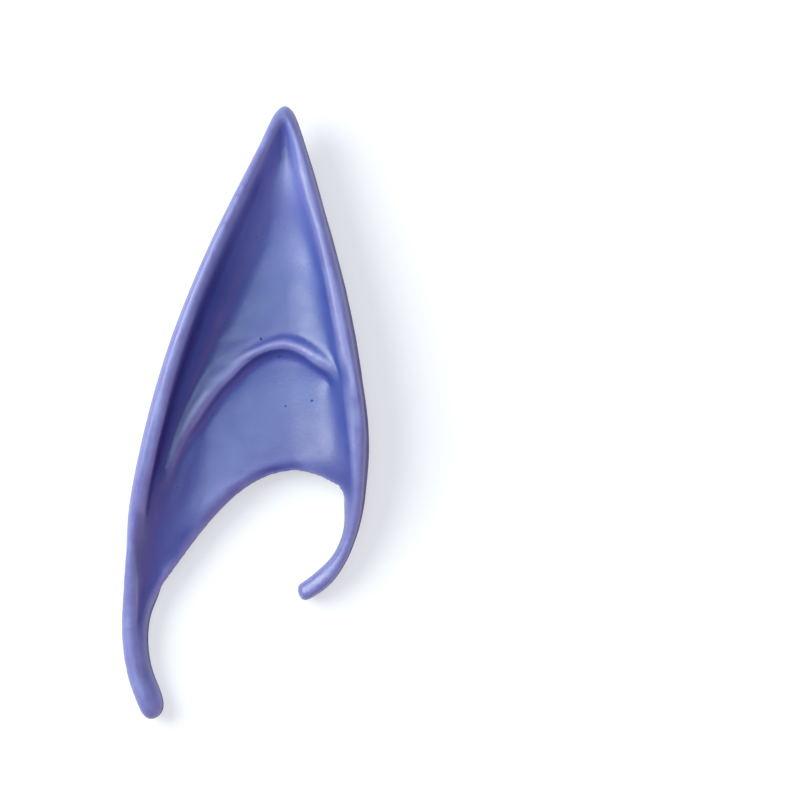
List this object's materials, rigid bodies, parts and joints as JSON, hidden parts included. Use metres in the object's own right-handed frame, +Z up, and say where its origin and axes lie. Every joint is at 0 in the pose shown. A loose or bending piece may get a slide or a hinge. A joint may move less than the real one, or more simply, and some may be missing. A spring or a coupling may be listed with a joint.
{
  "type": "elf ear tip",
  "caption": "Hollow pointed latex ear tip that slips over the top of a wearer's ear, with a rolled rim, an arched fold, a curled hook and a crescent edge over the pocket.",
  "frame": {"origin": "centre of the bounding box in plan, at the surface that the back of the shell lies on", "axes": "+Y from the tail to the point, +Z up out of the bowl, +X from the helix rim towards the face"},
  "size_m": [0.0498, 0.124, 0.021],
  "materials": {
    "latex": "satin moulded latex, coloured lavender blue"
  },
  "bodies": {
    "root": {"ear_shell": "latex"}
  },
  "joints": []
}
